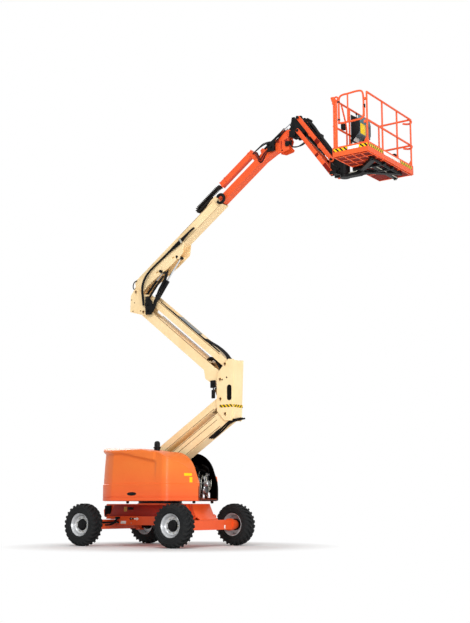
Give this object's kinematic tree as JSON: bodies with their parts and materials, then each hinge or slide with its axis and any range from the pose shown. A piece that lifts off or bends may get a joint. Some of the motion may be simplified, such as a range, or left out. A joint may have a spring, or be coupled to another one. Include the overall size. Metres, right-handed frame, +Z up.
{
  "type": "articulating boom lift",
  "caption": "Self-propelled work platform: wheeled chassis, swinging turntable with hoods, two-stage folding tower, telescopic boom, parallel jib and railed platform.",
  "frame": {"origin": "on the ground under the centre of the turntable's swing, midway between the axles", "axes": "+X towards the fixed axle and the platform, +Y towards the far side, +Z up"},
  "size_m": [6.9552, 2.34, 8.3581],
  "materials": {
    "black": "satin",
    "chrome": "polished",
    "cream": "satin",
    "grey": "moulded",
    "hood": "moulded",
    "iron": "painted",
    "orange": "satin",
    "rim": "satin",
    "tank": "moulded",
    "tyre": "matt"
  },
  "bodies": {
    "chassis": {"chassis_frame": "orange", "drive_axle": "orange", "steer_axle": "orange", "slew_ring": "black"},
    "knuckle_near": {"knuckle_near": "black"},
    "knuckle_far": {"knuckle_far": "black"},
    "tie_rod": {"tie_rod": "black"},
    "wheel_steer_near": {"tyre_steer_near": "tyre", "rim_steer_near": "rim"},
    "wheel_steer_far": {"tyre_steer_far": "tyre", "rim_steer_far": "rim"},
    "wheel_drive_near": {"tyre_drive_near": "tyre", "rim_drive_near": "rim"},
    "wheel_drive_far": {"tyre_drive_far": "tyre", "rim_drive_far": "rim"},
    "turntable": {"turntable_frame": "orange", "counterweight": "iron", "engine": "iron", "fluid_tank": "tank"},
    "hood_near": {"hood_near": "hood", "vent_stack": "black"},
    "hood_far": {"hood_far": "hood"},
    "lower_arm": {"lower_arm": "cream"},
    "lower_link": {"lower_link": "cream"},
    "mid_upright": {"mid_upright": "cream"},
    "upper_arm": {"upper_arm": "cream"},
    "upper_link": {"upper_link": "cream"},
    "upper_upright": {"upper_upright": "cream"},
    "boom_base": {"boom_base": "cream"},
    "boom_fly": {"boom_fly": "orange", "hose_tube": "orange"},
    "tower_ram_barrel": {"tower_ram_barrel": "black"},
    "tower_ram_rod": {"tower_ram_rod": "chrome"},
    "lift_ram_barrel": {"lift_ram_barrel": "black"},
    "lift_ram_rod": {"lift_ram_rod": "chrome"},
    "level_ram_barrel": {"level_ram_barrel": "black"},
    "level_ram_rod": {"level_ram_rod": "chrome"},
    "slave_ram_barrel": {"slave_ram_barrel": "black"},
    "slave_ram_rod": {"slave_ram_rod": "chrome"},
    "jib_ram_barrel": {"jib_ram_barrel": "black"},
    "jib_ram_rod": {"jib_ram_rod": "chrome"},
    "jib_bracket": {"jib_bracket": "black"},
    "jib_top_link": {"jib_top_link": "orange"},
    "jib_low_link": {"jib_low_link": "orange"},
    "jib_end": {"jib_end": "black"},
    "platform": {"platform_support": "black", "platform_floor": "orange", "platform_rails": "orange", "control_console": "grey"},
    "platform_gate": {"platform_gate": "orange"}
  },
  "joints": [
    {"name": "swing", "type": "hinge", "parent": "chassis", "child": "turntable", "pos_m": [0, 0, 0.885], "axis": [0, 0, 1], "range_deg": [-177.5, 177.5]},
    {"name": "steer_near", "type": "hinge", "parent": "chassis", "child": "knuckle_near", "pos_m": [-1.15, -0.8, 0.42], "axis": [0, 0, 1], "range_deg": [-35, 35]},
    {"name": "steer_far", "type": "hinge", "parent": "chassis", "child": "knuckle_far", "pos_m": [-1.15, 0.8, 0.42], "axis": [0, 0, 1], "range_deg": [-35, 35]},
    {"name": "tie_rod_slide", "type": "slide", "parent": "chassis", "child": "tie_rod", "axis": [0, 1, 0], "range_m": [-0.111, 0.111]},
    {"name": "roll_steer_near", "type": "hinge", "parent": "knuckle_near", "child": "wheel_steer_near", "pos_m": [-1.15, -1.015, 0.42], "axis": [0, 1, 0], "continuous": true},
    {"name": "roll_steer_far", "type": "hinge", "parent": "knuckle_far", "child": "wheel_steer_far", "pos_m": [-1.15, 1.015, 0.42], "axis": [0, 1, 0], "continuous": true},
    {"name": "roll_drive_near", "type": "hinge", "parent": "chassis", "child": "wheel_drive_near", "pos_m": [1.15, -1.015, 0.42], "axis": [0, 1, 0], "continuous": true},
    {"name": "roll_drive_far", "type": "hinge", "parent": "chassis", "child": "wheel_drive_far", "pos_m": [1.15, 1.015, 0.42], "axis": [0, 1, 0], "continuous": true},
    {"name": "hood_near_open", "type": "hinge", "parent": "turntable", "child": "hood_near", "pos_m": [0, -0.305, 1.95], "axis": [-1, 0, 0], "range_deg": [0, 60]},
    {"name": "hood_far_open", "type": "hinge", "parent": "turntable", "child": "hood_far", "pos_m": [0, 0.305, 1.95], "axis": [1, 0, 0], "range_deg": [0, 60]},
    {"name": "tower_lift", "type": "hinge", "parent": "turntable", "child": "lower_arm", "pos_m": [-0.449, 0, 1.169], "axis": [0, -1, 0], "range_deg": [-34.5, 32.5]},
    {"name": "lower_link_swing", "type": "hinge", "parent": "turntable", "child": "lower_link", "pos_m": [-0.564, 0, 1.467], "axis": [0, -1, 0], "range_deg": [-34.5, 32.5]},
    {"name": "mid_upright_level", "type": "hinge", "parent": "lower_arm", "child": "mid_upright", "pos_m": [1.74382, 0, 2.56598], "axis": [0, -1, 0], "range_deg": [-32.5, 34.5]},
    {"name": "upper_arm_swing", "type": "hinge", "parent": "mid_upright", "child": "upper_arm", "pos_m": [1.61982, 0, 3.25098], "axis": [0, -1, 0], "range_deg": [-32.5, 34.5]},
    {"name": "upper_link_swing", "type": "hinge", "parent": "mid_upright", "child": "upper_link", "pos_m": [1.73482, 0, 3.54898], "axis": [0, -1, 0], "range_deg": [-32.5, 34.5]},
    {"name": "upper_upright_level", "type": "hinge", "parent": "upper_arm", "child": "upper_upright", "pos_m": [-0.36361, 0, 4.8006], "axis": [0, -1, 0], "range_deg": [-34.5, 32.5]},
    {"name": "boom_lift", "type": "hinge", "parent": "upper_upright", "child": "boom_base", "pos_m": [-0.57861, 0, 5.2506], "axis": [0, -1, 0], "range_deg": [-33, 37.5]},
    {"name": "telescope", "type": "slide", "parent": "boom_base", "child": "boom_fly", "axis": [0.8141, 0, 0.5807], "range_m": [-1.05, 0.75]},
    {"name": "jib_bracket_level", "type": "hinge", "parent": "boom_fly", "child": "jib_bracket", "pos_m": [3.19616, 0, 8.04015], "axis": [0, -1, 0], "range_deg": [-37.5, 33]},
    {"name": "jib_lift", "type": "hinge", "parent": "jib_bracket", "child": "jib_top_link", "pos_m": [3.44616, 0, 8.28515], "axis": [0, -1, 0], "range_deg": [-6.7, 137.3]},
    {"name": "jib_low_link_swing", "type": "hinge", "parent": "jib_bracket", "child": "jib_low_link", "pos_m": [3.44616, 0, 8.01515], "axis": [0, -1, 0], "range_deg": [-6.7, 137.3]},
    {"name": "jib_end_level", "type": "hinge", "parent": "jib_top_link", "child": "jib_end", "pos_m": [4.18722, 0, 7.29095], "axis": [0, -1, 0], "range_deg": [-137.3, 6.7]},
    {"name": "tower_ram_swing", "type": "hinge", "parent": "mid_upright", "child": "tower_ram_barrel", "pos_m": [1.59982, 0, 2.63998], "axis": [0, -1, 0], "range_deg": [-8.26, 8.77]},
    {"name": "tower_ram_stroke", "type": "slide", "parent": "tower_ram_barrel", "child": "tower_ram_rod", "axis": [-0.3958, 0, 0.9183], "range_m": [-0.1587, 0.1495]},
    {"name": "lift_ram_swing", "type": "hinge", "parent": "upper_upright", "child": "lift_ram_barrel", "pos_m": [-0.36361, 0, 4.8006], "axis": [0, -1, 0], "range_deg": [-27.55, 31.3]},
    {"name": "lift_ram_stroke", "type": "slide", "parent": "lift_ram_barrel", "child": "lift_ram_rod", "axis": [0.6089, 0, 0.7933], "range_m": [-0.2417, 0.2745]},
    {"name": "level_ram_swing", "type": "hinge", "parent": "upper_upright", "child": "level_ram_barrel", "pos_m": [-0.42861, -0.085, 5.1056], "axis": [0, -1, 0], "range_deg": [-32.76, 37.22]},
    {"name": "level_ram_stroke", "type": "slide", "parent": "level_ram_barrel", "child": "level_ram_rod", "axis": [0.6997, 0, 0.7144], "range_m": [-0.1141, 0.1296]},
    {"name": "slave_ram_swing", "type": "hinge", "parent": "boom_fly", "child": "slave_ram_barrel", "pos_m": [2.53852, 0, 7.82041], "axis": [0, -1, 0], "range_deg": [-9.62, 8.47]},
    {"name": "slave_ram_stroke", "type": "slide", "parent": "slave_ram_barrel", "child": "slave_ram_rod", "axis": [0.8279, 0, 0.5609], "range_m": [-0.1033, 0.1173]},
    {"name": "jib_ram_swing", "type": "hinge", "parent": "jib_bracket", "child": "jib_ram_barrel", "pos_m": [3.44616, 0, 8.07515], "axis": [0, -1, 0], "range_deg": [-6.67, 135.72]},
    {"name": "jib_ram_stroke", "type": "slide", "parent": "jib_ram_barrel", "child": "jib_ram_rod", "axis": [0.6597, 0, -0.7515], "range_m": [-0.0151, 0.2991]},
    {"name": "platform_rotate", "type": "hinge", "parent": "jib_end", "child": "platform", "pos_m": [4.40022, 0, 6.98], "axis": [0, 0, 1], "range_deg": [-90, 90]},
    {"name": "gate_open", "type": "hinge", "parent": "platform", "child": "platform_gate", "pos_m": [5.31822, -0.891, 7.6], "axis": [0, 0, -1], "range_deg": [0, 90], "stiffness_Nm_per_rad": 4}
  ],
  "couplings": [
    {"joint": "steer_far", "follows": "steer_near", "ratio": 1},
    {"joint": "tie_rod_slide", "follows": "steer_near", "m_per_rad": 0.18},
    {"joint": "lower_link_swing", "follows": "tower_lift", "ratio": 1},
    {"joint": "mid_upright_level", "follows": "tower_lift", "ratio": -1},
    {"joint": "upper_arm_swing", "follows": "tower_lift", "ratio": -1},
    {"joint": "upper_link_swing", "follows": "tower_lift", "ratio": -1},
    {"joint": "upper_upright_level", "follows": "tower_lift", "ratio": 1},
    {"joint": "jib_bracket_level", "follows": "boom_lift", "ratio": -1},
    {"joint": "jib_low_link_swing", "follows": "jib_lift", "ratio": 1},
    {"joint": "jib_end_level", "follows": "jib_lift", "ratio": -1},
    {"joint": "tower_ram_swing", "follows": "tower_lift", "ratio": -0.2527},
    {"joint": "tower_ram_stroke", "follows": "tower_lift", "m_per_rad": 0.2627},
    {"joint": "lift_ram_swing", "follows": "boom_lift", "ratio": 0.8333},
    {"joint": "lift_ram_stroke", "follows": "boom_lift", "m_per_rad": 0.4187},
    {"joint": "level_ram_swing", "follows": "boom_lift", "ratio": 0.9912},
    {"joint": "level_ram_stroke", "follows": "boom_lift", "m_per_rad": 0.1972},
    {"joint": "slave_ram_swing", "follows": "boom_lift", "ratio": -0.2553},
    {"joint": "slave_ram_stroke", "follows": "boom_lift", "m_per_rad": 0.1785},
    {"joint": "jib_ram_swing", "follows": "jib_lift", "ratio": 0.9881},
    {"joint": "jib_ram_stroke", "follows": "jib_lift", "m_per_rad": 0.1246}
  ]
}
